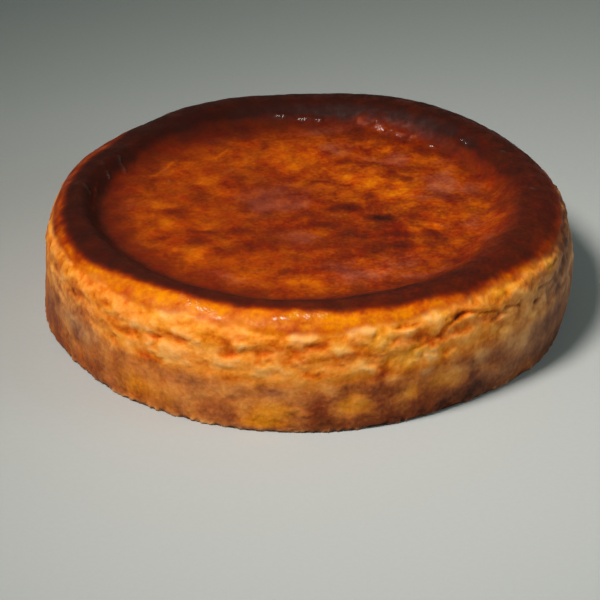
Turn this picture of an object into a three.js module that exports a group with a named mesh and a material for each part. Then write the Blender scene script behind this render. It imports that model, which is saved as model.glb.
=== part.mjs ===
// A basque cheesecake: one whole, uncut cake, baked in a round tin until its top scorched.
// The cake is a single solid. Its rim stands up as a soft, uneven roll round a sunken middle,
// a crease runs round the outside where the smooth top skin meets the wrinkled side,
// and the flat underside is where it stood in the tin.
//
// Millimetres, +Z up. Azimuths are in degrees about +Z: 0 is +X and -90 is the cake's front.
import * as THREE from "three";

// Driving dimensions.
const FOOT_RADIUS = 119;
const FOOT_ROUNDING = 1.6;
const SHOULDER_HEIGHT = 40;
const CREASE_HEIGHT = 46.8;
const CREST_HEIGHT = 54.6;
const CREST_RADIUS = 102;
const MIDDLE_HEIGHT = 45.6;
const MIDDLE_RADIUS = 88;

// The side: how far it swells between foot and shoulder, and the folds of its skin.
const BELLY = 1.3;
const WRINKLE_DEPTH = 0.55;
const WRINKLE_SPACING = 9.5;
const WRINKLE_WANDER = 3.2;
const WRINKLES_START = 20;

// The crease under the smooth top skin: a groove that wanders up and down as it goes round.
const CREASE_DEPTH = 1.3;
const CREASE_HALF_WIDTH = 1.7;
const CREASE_WANDER = 1.4;

// The shoulder is a quarter of a superellipse; 2 would be a plain ellipse.
const SHOULDER_EXPONENT = 2.06;

// The sunken middle is level but for slow waves.
const MIDDLE_WAVE_HEIGHT = 0.45;
const MIDDLE_WAVE_LENGTH = 62;

// Where the cake departs from a true round: each lump is centred at an azimuth, is `wide`
// degrees to either side, and moves its size by so many millimetres.
const FOOT_LUMPS = [
  { at: 0, wide: 24, by: 3.2 },
  { at: 62, wide: 25, by: 2.0 },
  { at: -173, wide: 22, by: 0.8 },
  { at: -148, wide: 9, by: -0.9 },
  { at: -54, wide: 18, by: -0.8 },
  { at: -30, wide: 16, by: 3.2 },
];
const BELLY_LUMPS = [
  { at: -4, wide: 26, by: 2.0 },
  { at: 175, wide: 40, by: -1.4 },
  { at: -95, wide: 40, by: -0.4 },
];
const LEAN_LUMPS = [
  { at: 182, wide: 20, by: -2.0 },
  { at: 170, wide: 12, by: -1.6 },
  { at: 35, wide: 24, by: 1.0 },
];
const SHOULDER_LUMPS = [
  { at: 176, wide: 30, by: -4.0 },
  { at: 60, wide: 36, by: 0.6 },
  { at: 8, wide: 22, by: 1.5 },
];
const CREST_HEIGHT_LUMPS = [
  { at: 97, wide: 34, by: -2.6 },
  { at: 152, wide: 22, by: -1.2 },
  { at: 146, wide: 5, by: -0.5 },
  { at: 142, wide: 14, by: -2.1 },
  { at: 131, wide: 5, by: -1.0 },
  { at: 108, wide: 9, by: 0.4 },
  { at: 67, wide: 12, by: 0.6 },
  { at: 50, wide: 26, by: 1.2 },
  { at: 24, wide: 18, by: -0.4 },
  { at: -90, wide: 50, by: 0.8 },
  { at: -140, wide: 14, by: -0.4 },
];
const CREST_RADIUS_LUMPS = [
  { at: 146, wide: 22, by: -2.4 },
  { at: 131, wide: 6, by: -1.2 },
  { at: 107, wide: 10, by: 0.8 },
  { at: 66, wide: 14, by: 1.5 },
  { at: 0, wide: 30, by: 0.5 },
  { at: -93, wide: 18, by: 1.0 },
  { at: -114, wide: 8, by: -1.6 },
];
const MIDDLE_RADIUS_LUMPS = [
  { at: 178, wide: 20, by: 4.0 },
  { at: 64, wide: 14, by: -4.0 },
  { at: -15, wide: 24, by: -6.5 },
  { at: -72, wide: 38, by: -10.5 },
  { at: -130, wide: 24, by: -4.0 },
];

// How finely the form is cut into facets.
const SECTORS = 92;
const UNDERSIDE_RINGS = 3;
const SIDE_RINGS = 12;
const UNDER_CREASE_RINGS = 2;
const SHOULDER_RINGS = 9;
const INNER_SLOPE_RINGS = 6;
const MIDDLE_RINGS = 7;

const radians = THREE.MathUtils.degToRad;
const lerp = THREE.MathUtils.lerp;

function lumpsAt(azimuth, lumps) {
  let total = 0;
  for (const { at, wide, by } of lumps) {
    const away = ((azimuth - at + 540) % 360) - 180;
    total += by * Math.exp(-((away / wide) ** 2));
  }
  return total;
}

// A slow, closed wave round the cake, between -1 and 1.
function roundWave(azimuth, turns, phase) {
  const angle = radians(azimuth);
  return 0.6 * Math.sin(turns * angle + phase) + 0.4 * Math.sin((2 * turns + 1) * angle - 2 * phase);
}

// The cake's main sizes at one azimuth.
function sizesAt(azimuth) {
  const footRadius = FOOT_RADIUS + lumpsAt(azimuth, FOOT_LUMPS);
  return {
    azimuth,
    footRadius,
    shoulderRadius: footRadius + lumpsAt(azimuth, LEAN_LUMPS),
    shoulderHeight: SHOULDER_HEIGHT + lumpsAt(azimuth, SHOULDER_LUMPS),
    belly: BELLY + lumpsAt(azimuth, BELLY_LUMPS),
    creaseHeight: CREASE_HEIGHT + CREASE_WANDER * roundWave(azimuth, 4, 0.7),
    crestHeight: CREST_HEIGHT + lumpsAt(azimuth, CREST_HEIGHT_LUMPS),
    crestRadius: CREST_RADIUS + lumpsAt(azimuth, CREST_RADIUS_LUMPS),
    middleRadius: MIDDLE_RADIUS + lumpsAt(azimuth, MIDDLE_RADIUS_LUMPS),
  };
}

// The skin of the side is drawn into shallow folds that run round the cake and fade downwards.
function wrinkle(sizes, height) {
  const fade = THREE.MathUtils.smoothstep(height, WRINKLES_START, sizes.shoulderHeight);
  const drift = WRINKLE_WANDER * roundWave(sizes.azimuth, 3, 2.1);
  return WRINKLE_DEPTH * fade * Math.sin((2 * Math.PI * (height + drift)) / WRINKLE_SPACING);
}

function crease(sizes, height) {
  return CREASE_DEPTH * Math.exp(-(((height - sizes.creaseHeight) / CREASE_HALF_WIDTH) ** 2));
}

// Each of these gives a point of the profile as [radius, height].
function footPoint(sizes, turn) {
  const angle = (turn * Math.PI) / 2;
  const radius = sizes.footRadius - FOOT_ROUNDING * (1 - Math.sin(angle));
  return [radius, FOOT_ROUNDING * (1 - Math.cos(angle))];
}

function sidePoint(sizes, share) {
  const height = lerp(FOOT_ROUNDING, sizes.shoulderHeight, share);
  const swell = sizes.belly * Math.sin(Math.PI * share);
  const radius = lerp(sizes.footRadius, sizes.shoulderRadius, share) + swell;
  return [radius - wrinkle(sizes, height), height];
}

function shoulderPoint(sizes, height) {
  const risen = (height - sizes.shoulderHeight) / (sizes.crestHeight - sizes.shoulderHeight);
  const reach = (1 - risen ** SHOULDER_EXPONENT) ** (1 / SHOULDER_EXPONENT);
  const radius = lerp(sizes.crestRadius, sizes.shoulderRadius, reach);
  return [radius - crease(sizes, height) - wrinkle(sizes, height) * (1 - risen) ** 2, height];
}

function innerSlopePoint(sizes, share) {
  const drop = (1 - Math.cos(Math.PI * share)) / 2;
  const radius = lerp(sizes.crestRadius, sizes.middleRadius, share);
  return [radius, lerp(sizes.crestHeight, MIDDLE_HEIGHT, drop)];
}

function middlePoint(sizes, share) {
  const radius = sizes.middleRadius * (1 - share);
  const along = (2 * Math.PI * radius) / MIDDLE_WAVE_LENGTH;
  const angle = radians(sizes.azimuth);
  const wave = Math.sin(along * Math.cos(angle) + 1) * Math.cos(along * Math.sin(angle) - 0.5);
  const fade = Math.min(1, 3 * share);
  return [radius, MIDDLE_HEIGHT + MIDDLE_WAVE_HEIGHT * wave * fade];
}

// The whole profile at one azimuth, from the underside's middle out, up and in to the top's.
function profileAt(azimuth) {
  const sizes = sizesAt(azimuth);
  const points = [];
  for (let i = 1; i <= UNDERSIDE_RINGS; i += 1) {
    points.push([((sizes.footRadius - FOOT_ROUNDING) * i) / UNDERSIDE_RINGS, 0]);
  }
  points.push(footPoint(sizes, 0.5));
  for (let i = 0; i < SIDE_RINGS; i += 1) {
    points.push(sidePoint(sizes, i / SIDE_RINGS));
  }
  const underCrease = sizes.creaseHeight - CREASE_HALF_WIDTH;
  for (let i = 0; i <= UNDER_CREASE_RINGS; i += 1) {
    points.push(shoulderPoint(sizes, lerp(sizes.shoulderHeight, underCrease, i / UNDER_CREASE_RINGS)));
  }
  points.push(shoulderPoint(sizes, sizes.creaseHeight));
  const overCrease = sizes.creaseHeight + CREASE_HALF_WIDTH;
  const rise = sizes.crestHeight - overCrease;
  for (let i = 0; i <= SHOULDER_RINGS; i += 1) {
    const turn = (Math.PI / 2) * (i / SHOULDER_RINGS);
    points.push(shoulderPoint(sizes, overCrease + rise * Math.sin(turn)));
  }
  for (let i = 1; i <= INNER_SLOPE_RINGS; i += 1) {
    points.push(innerSlopePoint(sizes, i / INNER_SLOPE_RINGS));
  }
  for (let i = 1; i < MIDDLE_RINGS; i += 1) {
    points.push(middlePoint(sizes, i / MIDDLE_RINGS));
  }
  return points;
}

// A closed solid from one profile for each sector, with a fan at each end of the axis.
function cakeGeometry() {
  const topHeight = middlePoint(sizesAt(0), 1)[1];
  const positions = [0, 0, 0, 0, 0, topHeight];
  const underside = 0;
  const top = 1;
  const firstRingPoint = 2;
  let rings = 0;
  for (let sector = 0; sector < SECTORS; sector += 1) {
    const azimuth = (360 * sector) / SECTORS;
    const profile = profileAt(azimuth);
    rings = profile.length;
    for (const [radius, height] of profile) {
      const angle = radians(azimuth);
      positions.push(radius * Math.cos(angle), radius * Math.sin(angle), height);
    }
  }
  const pointAt = (sector, ring) => firstRingPoint + (sector % SECTORS) * rings + ring;
  const faces = [];
  for (let sector = 0; sector < SECTORS; sector += 1) {
    faces.push(underside, pointAt(sector + 1, 0), pointAt(sector, 0));
    for (let ring = 0; ring < rings - 1; ring += 1) {
      const here = pointAt(sector, ring);
      const beside = pointAt(sector + 1, ring);
      const above = pointAt(sector, ring + 1);
      const aboveBeside = pointAt(sector + 1, ring + 1);
      faces.push(here, beside, aboveBeside, here, aboveBeside, above);
    }
    faces.push(top, pointAt(sector, rings - 1), pointAt(sector + 1, rings - 1));
  }
  const geometry = new THREE.BufferGeometry();
  geometry.setAttribute("position", new THREE.Float32BufferAttribute(positions, 3));
  geometry.setIndex(faces);
  return geometry;
}

// The origin is the middle of the space that the cake takes up on its board.
function centreOnFootprint(geometry) {
  geometry.computeBoundingBox();
  const middle = geometry.boundingBox.getCenter(new THREE.Vector3());
  geometry.translate(-middle.x, -middle.y, 0);
  geometry.computeVertexNormals();
  return geometry;
}

function bakedCustard() {
  return new THREE.MeshStandardMaterial({ color: 0xb8661f, roughness: 0.45, metalness: 0 });
}

const cheesecake = new THREE.Mesh(centreOnFootprint(cakeGeometry()), bakedCustard());
cheesecake.name = "cheesecake";

const cake = new THREE.Group();
cake.add(cheesecake);

export default cake;
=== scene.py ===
import math

import bpy
import numpy as np
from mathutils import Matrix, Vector, noise


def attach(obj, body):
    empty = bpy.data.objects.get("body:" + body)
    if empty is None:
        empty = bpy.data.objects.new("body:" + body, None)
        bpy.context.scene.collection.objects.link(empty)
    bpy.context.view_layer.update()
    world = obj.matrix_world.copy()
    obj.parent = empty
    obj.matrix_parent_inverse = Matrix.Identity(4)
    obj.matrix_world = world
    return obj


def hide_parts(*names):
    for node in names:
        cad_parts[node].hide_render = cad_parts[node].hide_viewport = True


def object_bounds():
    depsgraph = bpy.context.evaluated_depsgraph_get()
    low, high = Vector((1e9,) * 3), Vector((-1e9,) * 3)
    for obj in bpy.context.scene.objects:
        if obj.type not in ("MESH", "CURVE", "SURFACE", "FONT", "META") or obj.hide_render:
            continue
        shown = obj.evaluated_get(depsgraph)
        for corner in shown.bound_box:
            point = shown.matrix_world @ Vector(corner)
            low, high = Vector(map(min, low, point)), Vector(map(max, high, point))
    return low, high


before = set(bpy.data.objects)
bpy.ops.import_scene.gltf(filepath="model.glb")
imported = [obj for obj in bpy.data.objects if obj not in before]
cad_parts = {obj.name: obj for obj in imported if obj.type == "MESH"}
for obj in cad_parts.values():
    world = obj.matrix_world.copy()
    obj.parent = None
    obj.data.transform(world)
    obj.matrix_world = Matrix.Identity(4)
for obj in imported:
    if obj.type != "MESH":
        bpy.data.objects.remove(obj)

MM = 0.001
cad_box = [list(corner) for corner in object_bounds()]


# ---------------------------------------------------------------------------------------------
# Camera. A long lens 1.3 m away, looking down at the front of the cake from 30 degrees above the
# table, so that the far rim looks hardly smaller than the near one.
# ---------------------------------------------------------------------------------------------
SENSOR_WIDTH = 36.0
LENS = 169.8
CAMERA_PLACE = Vector((-3.7, -1146.6, 664.8)) * MM
CAMERA_TARGET = Vector((-3.7, -0.5, -2.4)) * MM
CAMERA_REACH = 20.0


def turned_to(place, target):
    """The rotation that points a camera or a lamp at `place` towards `target`."""
    return (target - place).to_track_quat("-Z", "Y").to_euler()


camera_data = bpy.data.cameras.new("camera")
camera_data.sensor_width = SENSOR_WIDTH
camera_data.lens = LENS
camera_data.clip_end = CAMERA_REACH
camera = bpy.data.objects.new("camera", camera_data)
camera.location = CAMERA_PLACE
camera.rotation_euler = turned_to(CAMERA_PLACE, CAMERA_TARGET)
bpy.context.scene.collection.objects.link(camera)
bpy.context.scene.camera = camera


# ---------------------------------------------------------------------------------------------
# Table. Matte grey background paper, laid flat under the cake and far out past the view: paper
# pulp rolled smooth, with no shine and a fibre mottle that shows only from close up.
# ---------------------------------------------------------------------------------------------
PAPER_WIDTH = 8000.0 * MM
PAPER_LIGHT = "#B1B1AF"
PAPER_DARK = "#ACACAA"
PAPER_ROUGHNESS = 0.9
PAPER_SHINE = 0.2

# How far apart the paper's fibres are, in millimetres, drawn coarser than real ones so that they
# show at all.
PAPER_FIBRE = 2.5


def linear(hex_colour):
    """An sRGB hex colour as the linear numbers that lights and shaders take."""
    parts = [int(hex_colour[start:start + 2], 16) / 255 for start in (1, 3, 5)]
    return [part / 12.92 if part <= 0.04045 else ((part + 0.055) / 1.055) ** 2.4 for part in parts]


def rgba(hex_colour):
    return (*linear(hex_colour), 1.0)


def add(tree, kind, inputs=None, stops=(), **settings):
    """Adds one node. `inputs` gives each named or numbered socket a value or another's output,
    and `stops` gives a colour ramp its (position, hex colour) pairs."""
    node = tree.nodes.new(kind)
    for name, value in settings.items():
        setattr(node, name, value)
    for number, (position, colour) in enumerate(stops):
        if number >= len(node.color_ramp.elements):
            node.color_ramp.elements.new(position)
        node.color_ramp.elements[number].position = position
        node.color_ramp.elements[number].color = rgba(colour)
    for socket, value in (inputs or {}).items():
        if isinstance(value, bpy.types.NodeSocket):
            tree.links.new(value, node.inputs[socket])
        else:
            node.inputs[socket].default_value = value
    return node


def new_material(name, **sockets):
    """A node material and its Principled shader, with the given sockets set."""
    material = bpy.data.materials.new(name)
    material.use_nodes = True
    tree = material.node_tree
    tree.nodes.clear()
    named = {name.replace("_", " "): value for name, value in sockets.items()}
    shader = add(tree, "ShaderNodeBsdfPrincipled", named)
    add(tree, "ShaderNodeOutputMaterial", {"Surface": shader.outputs["BSDF"]})
    return material, tree, shader


def matte_paper():
    """Uncoated coloured paper: no shine at all, and a tone that wavers with its fibres."""
    material, tree, shader = new_material("matte_paper", Roughness=PAPER_ROUGHNESS,
                                          Specular_IOR_Level=PAPER_SHINE)
    place = add(tree, "ShaderNodeTexCoord").outputs["Object"]
    fibre = add(tree, "ShaderNodeTexNoise", {"Vector": place, "Scale": 1 / (PAPER_FIBRE * MM),
                                             "Detail": 3.0})
    tone = add(tree, "ShaderNodeValToRGB", {"Fac": fibre.outputs["Fac"]},
               stops=[(0.0, PAPER_DARK), (1.0, PAPER_LIGHT)])
    tree.links.new(tone.outputs["Color"], shader.inputs["Base Color"])
    return material


half = PAPER_WIDTH / 2
paper_corners = [(-half, -half, 0), (half, -half, 0), (half, half, 0), (-half, half, 0)]
paper_mesh = bpy.data.meshes.new("paper")
paper_mesh.from_pydata(paper_corners, [], [(0, 1, 2, 3)])
paper_mesh.materials.append(matte_paper())
paper = bpy.data.objects.new("paper", paper_mesh)
bpy.context.scene.collection.objects.link(paper)


# ---------------------------------------------------------------------------------------------
# Light. A round softbox with a grid hangs high at the front left and aims at the cake's front
# right, so that the paper darkens towards the back. A far window on the right and the room's pale
# walls add a little cool light.
# ---------------------------------------------------------------------------------------------
KEY_PLACE = Vector((-591.0, -532.0, 1312.0)) * MM
KEY_AIM = Vector((87.0, -96.0, 0.0)) * MM
KEY_WIDTH = 450.0 * MM
KEY_SPREAD = 37.0
KEY_POWER = 1.44
KEY_COLOUR = "#FFFDF8"
WINDOW_PLACE = Vector((1500.0, -420.0, 640.0)) * MM
WINDOW_WIDTH = 900.0 * MM
WINDOW_SPREAD = 120.0
WINDOW_POWER = 3.0
WINDOW_COLOUR = "#DCF6FF"
CAKE_MIDDLE = Vector((0.0, 0.0, 25.0)) * MM
ROOM_COLOUR = "#E6FFED"
ROOM_STRENGTH = 0.12


def add_round_lamp(name, place, aim, width, spread, power, colour):
    light = bpy.data.lights.new(name, "AREA")
    light.shape = "DISK"
    light.size = width
    light.spread = math.radians(spread)
    light.energy = power
    light.color = linear(colour)
    lamp = bpy.data.objects.new(name, light)
    lamp.location = place
    lamp.rotation_euler = turned_to(place, aim)
    bpy.context.scene.collection.objects.link(lamp)


add_round_lamp("key", KEY_PLACE, KEY_AIM, KEY_WIDTH, KEY_SPREAD, KEY_POWER, KEY_COLOUR)
add_round_lamp("window", WINDOW_PLACE, CAKE_MIDDLE, WINDOW_WIDTH, WINDOW_SPREAD, WINDOW_POWER,
               WINDOW_COLOUR)
room = bpy.data.worlds.new("room")
room.use_nodes = True
room.node_tree.nodes.clear()
room_glow = add(room.node_tree, "ShaderNodeBackground",
                {"Color": rgba(ROOM_COLOUR), "Strength": ROOM_STRENGTH})
add(room.node_tree, "ShaderNodeOutputWorld", {"Surface": room_glow.outputs["Background"]})
bpy.context.scene.world = room
bpy.context.scene.view_settings.view_transform = "Standard"


# ---------------------------------------------------------------------------------------------
# The cake's form. Baked custard, poured into a round tin lined with paper. It rose, browned and
# sank again, which left a soft raised rim round a sunken middle and a side that leans and bulges.
# ---------------------------------------------------------------------------------------------
FOOT_RADIUS = 119.0
FOOT_ROUNDING = 1.6
SHOULDER_HEIGHT = 40.0
CREST_HEIGHT = 54.6
CREST_RADIUS = 102.0
MIDDLE_HEIGHT = 45.6
MIDDLE_RADIUS = 88.0
BELLY = 1.3

# The shoulder's profile from the side to the crest; 2 would make it a quarter of an ellipse.
SHOULDER_EXPONENT = 2.06

# Shallow wrinkles that run round the upper side, rising and falling as they go.
WRINKLE_DEPTH = 0.25
WRINKLE_SPACING = 9.5
WRINKLE_WANDER = 3.2
WRINKLE_TURNS = 3
WRINKLE_PHASE = 2.1
WRINKLES_START = 20.0

# Low waves over the sunken middle, which fade in from its edge.
MIDDLE_WAVE_HEIGHT = 0.45
MIDDLE_WAVE_LENGTH = 62.0
MIDDLE_WAVE_PHASES = (1.0, -0.5)
MIDDLE_WAVE_FADE = 3.0

# Where the cake departs from a true round: (azimuth, degrees to either side, millimetres).
FOOT_LUMPS = [
    (0, 24, 3.2), (62, 25, 2.0), (-173, 22, 0.8), (-148, 9, -0.9), (-54, 18, -0.8), (-30, 16, 3.2)]
BELLY_LUMPS = [(-4, 26, 2.0), (175, 40, -1.4), (-95, 40, -0.4)]
LEAN_LUMPS = [(182, 20, -2.0), (170, 12, -1.6), (35, 24, 1.0)]
SHOULDER_LUMPS = [(176, 30, -4.0), (60, 36, 0.6), (8, 22, 1.5)]
CREST_HEIGHT_LUMPS = [
    (97, 34, -2.6), (152, 22, -1.2), (146, 5, -0.5), (142, 14, -2.1), (131, 5, -1.0), (108, 9, 0.4),
    (67, 12, 0.6), (50, 26, 1.2), (24, 18, -0.4), (-90, 50, 0.8), (-140, 14, -0.4)]
CREST_RADIUS_LUMPS = [
    (146, 22, -2.4), (131, 6, -1.2), (107, 10, 0.8), (66, 14, 1.5), (0, 30, 0.5), (-93, 18, 1.0),
    (-114, 8, -1.6)]
MIDDLE_RADIUS_LUMPS = [
    (178, 20, 4.0), (64, 14, -4.0), (-15, 24, -6.5), (-72, 38, -10.5), (-130, 24, -4.0)]

# Where the smooth skin of the top ends over the torn skin of the side, in height.
LIP_HEIGHT = 48.4
LIP_LUMPS = [
    (-116, 8, 1.9), (-103, 6, 1.4), (-91, 4, -0.2), (-76, 5, 1.5), (-60, 9, 1.7), (-43, 9, 1.5),
    (-31, 6, 1.6), (-139, 8, 1.4), (-12, 12, -0.8), (125, 45, -5.0)]

# How finely the skin is meshed: sectors round the cake, and rings over each stretch of it. Over the
# middle the sectors halve where they would be narrower than this share of the rings' spacing.
SECTORS = 720
UNDERSIDE_STEPS = 2
FOOT_STEPS = 3
SIDE_STEPS = 46
SHOULDER_STEPS = 28
INNER_SLOPE_STEPS = 22
MIDDLE_SPACING = 1.2
FEWER_SECTORS_AT = 0.62


def turn_from(azimuth, other):
    """How far round from one azimuth to another, between -180 and 180 degrees."""
    return (azimuth - other + 540) % 360 - 180


def lumps_at(azimuth, lumps):
    """How far all the lumps together move the form at each azimuth."""
    return sum(by * np.exp(-(turn_from(azimuth, at) / wide) ** 2) for at, wide, by in lumps)


def round_wave(azimuth, turns, phase):
    """A closed wave round the cake, between -1 and 1: a slow sine with a finer, weaker one on it."""
    angle = np.radians(azimuth)
    return 0.6 * np.sin(turns * angle + phase) + 0.4 * np.sin((2 * turns + 1) * angle - 2 * phase)


def smoothstep(low, high, value):
    share = np.clip((value - low) / (high - low), 0, 1)
    return share * share * (3 - 2 * share)


def mix(low, high, share):
    return low + (high - low) * share


class Form:
    """The cake's main sizes at each azimuth, and the points of the profile that they give."""

    def __init__(self, azimuth):
        self.azimuth = azimuth
        self.foot = FOOT_RADIUS + lumps_at(azimuth, FOOT_LUMPS)
        self.shoulder = self.foot + lumps_at(azimuth, LEAN_LUMPS)
        self.shoulder_height = SHOULDER_HEIGHT + lumps_at(azimuth, SHOULDER_LUMPS)
        self.belly = BELLY + lumps_at(azimuth, BELLY_LUMPS)
        self.lip = LIP_HEIGHT + lumps_at(azimuth, LIP_LUMPS)
        self.crest_height = CREST_HEIGHT + lumps_at(azimuth, CREST_HEIGHT_LUMPS)
        self.crest = CREST_RADIUS + lumps_at(azimuth, CREST_RADIUS_LUMPS)
        self.middle = MIDDLE_RADIUS + lumps_at(azimuth, MIDDLE_RADIUS_LUMPS)

    def wrinkle(self, height):
        fade = smoothstep(WRINKLES_START, self.shoulder_height, height)
        drift = WRINKLE_WANDER * round_wave(self.azimuth, WRINKLE_TURNS, WRINKLE_PHASE)
        return WRINKLE_DEPTH * fade * np.sin(2 * np.pi * (height + drift) / WRINKLE_SPACING)

    def underside_point(self, share):
        return (self.foot - FOOT_ROUNDING) * share, 0.0

    def foot_point(self, share):
        turn = share * math.pi / 2
        return self.foot - FOOT_ROUNDING * (1 - math.sin(turn)), FOOT_ROUNDING * (1 - math.cos(turn))

    def side_point(self, share):
        height = mix(FOOT_ROUNDING, self.shoulder_height, share)
        radius = mix(self.foot, self.shoulder, share) + self.belly * np.sin(np.pi * share)
        return radius - self.wrinkle(height), height

    def shoulder_point(self, share):
        risen = math.sin(math.pi / 2 * share)
        height = mix(self.shoulder_height, self.crest_height, risen)
        reach = (1 - risen ** SHOULDER_EXPONENT) ** (1 / SHOULDER_EXPONENT)
        return mix(self.crest, self.shoulder, reach) - self.wrinkle(height) * (1 - risen) ** 2, height

    def inner_slope_point(self, share):
        drop = (1 - math.cos(math.pi * share)) / 2
        return mix(self.crest, self.middle, share), mix(self.crest_height, MIDDLE_HEIGHT, drop)

    def middle_point(self, share):
        radius = self.middle * (1 - share)
        along = 2 * np.pi * radius / MIDDLE_WAVE_LENGTH
        angle = np.radians(self.azimuth)
        first, second = MIDDLE_WAVE_PHASES
        wave = np.sin(along * np.cos(angle) + first) * np.cos(along * np.sin(angle) + second)
        return radius, MIDDLE_HEIGHT + MIDDLE_WAVE_HEIGHT * wave * min(1.0, MIDDLE_WAVE_FADE * share)


def ring(sectors, stretch, share):
    """One ring of points of the named stretch of the profile, `share` of the way along it."""
    form = Form(np.arange(sectors) * 360 / sectors)
    radius, height = getattr(form, stretch)(share)
    angle = np.radians(form.azimuth)
    heights = np.broadcast_to(height, angle.shape)
    return np.stack([radius * np.cos(angle), radius * np.sin(angle), heights], axis=1)


def cake_rings():
    """Every ring, from the underside's middle out, up the side and in over the top."""
    rings = [ring(SECTORS, "underside_point", step / UNDERSIDE_STEPS)
             for step in range(1, UNDERSIDE_STEPS + 1)]
    rings += [ring(SECTORS, "foot_point", step / FOOT_STEPS) for step in range(1, FOOT_STEPS)]
    for stretch, steps in (("side_point", SIDE_STEPS), ("shoulder_point", SHOULDER_STEPS),
                           ("inner_slope_point", INNER_SLOPE_STEPS)):
        rings += [ring(SECTORS, stretch, step / steps) for step in range(steps)]
    sectors = SECTORS
    steps = round(MIDDLE_RADIUS / MIDDLE_SPACING)
    for step in range(steps):
        arc = 2 * math.pi * MIDDLE_RADIUS * (1 - step / steps) / sectors
        if arc < MIDDLE_SPACING * FEWER_SECTORS_AT and sectors % 2 == 0:
            sectors //= 2
        rings.append(ring(sectors, "middle_point", step / steps))
    return rings


def fan(hub, first, count, upward):
    """The faces between one hub point and a ring."""
    turned = [(hub, first + at, first + (at + 1) % count) for at in range(count)]
    return turned if upward else [face[::-1] for face in turned]


def band(outer, outer_count, inner, inner_count):
    """The faces between two rings; the inner ring may have half as many points as the outer."""
    faces = []
    for at in range(inner_count):
        after = (at + 1) % inner_count
        if outer_count == inner_count:
            faces.append((outer + at, outer + after, inner + after, inner + at))
            continue
        left, middle, right = outer + 2 * at, outer + 2 * at + 1, outer + (2 * at + 2) % outer_count
        faces.append((left, middle, inner + at))
        faces.append((middle, inner + after, inner + at))
        faces.append((middle, right, inner + after))
    return faces


def closed_skin(rings, bottom, top):
    """The points and faces of a skin that closes with a fan under its first ring and over its last."""
    points = np.concatenate([[bottom], *rings, [top]])
    faces = fan(0, 1, len(rings[0]), upward=False)
    first = 1
    for here, there in zip(rings, rings[1:]):
        faces += band(first, len(here), first + len(here), len(there))
        first += len(here)
    return points, faces + fan(len(points) - 1, first, len(rings[-1]), upward=True)


middle_top = (0.0, 0.0, Form(0.0).middle_point(1.0)[1])
shape, faces = closed_skin(cake_rings(), (0.0, 0.0, 0.0), middle_top)
azimuth = np.degrees(np.arctan2(shape[:, 1], shape[:, 0]))
radius = np.hypot(shape[:, 0], shape[:, 1])
height = shape[:, 2]
form = Form(azimuth)

# The origin is under the middle of the box that the cake fills, not under its round's centre.
off_centre = (shape.min(axis=0) + shape.max(axis=0)) / 2 * (1, 1, 0)
cake_mesh = bpy.data.meshes.new("cake")
cake_mesh.from_pydata((shape - off_centre) * MM, [], faces)
cake_mesh.update()
outward = np.empty(3 * len(shape))
cake_mesh.vertices.foreach_get("normal", outward)
outward = outward.reshape(-1, 3)


# ---------------------------------------------------------------------------------------------
# The cake's side. Where it stood against paper the skin is matte: pale lumpy plates with torn
# lips stand out under the rim, over a smoother foot blotched gold, tan and a dull purplish brown.
# ---------------------------------------------------------------------------------------------
# One degree round the cake, in millimetres along its side.
MM_PER_DEGREE = 2.08

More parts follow.
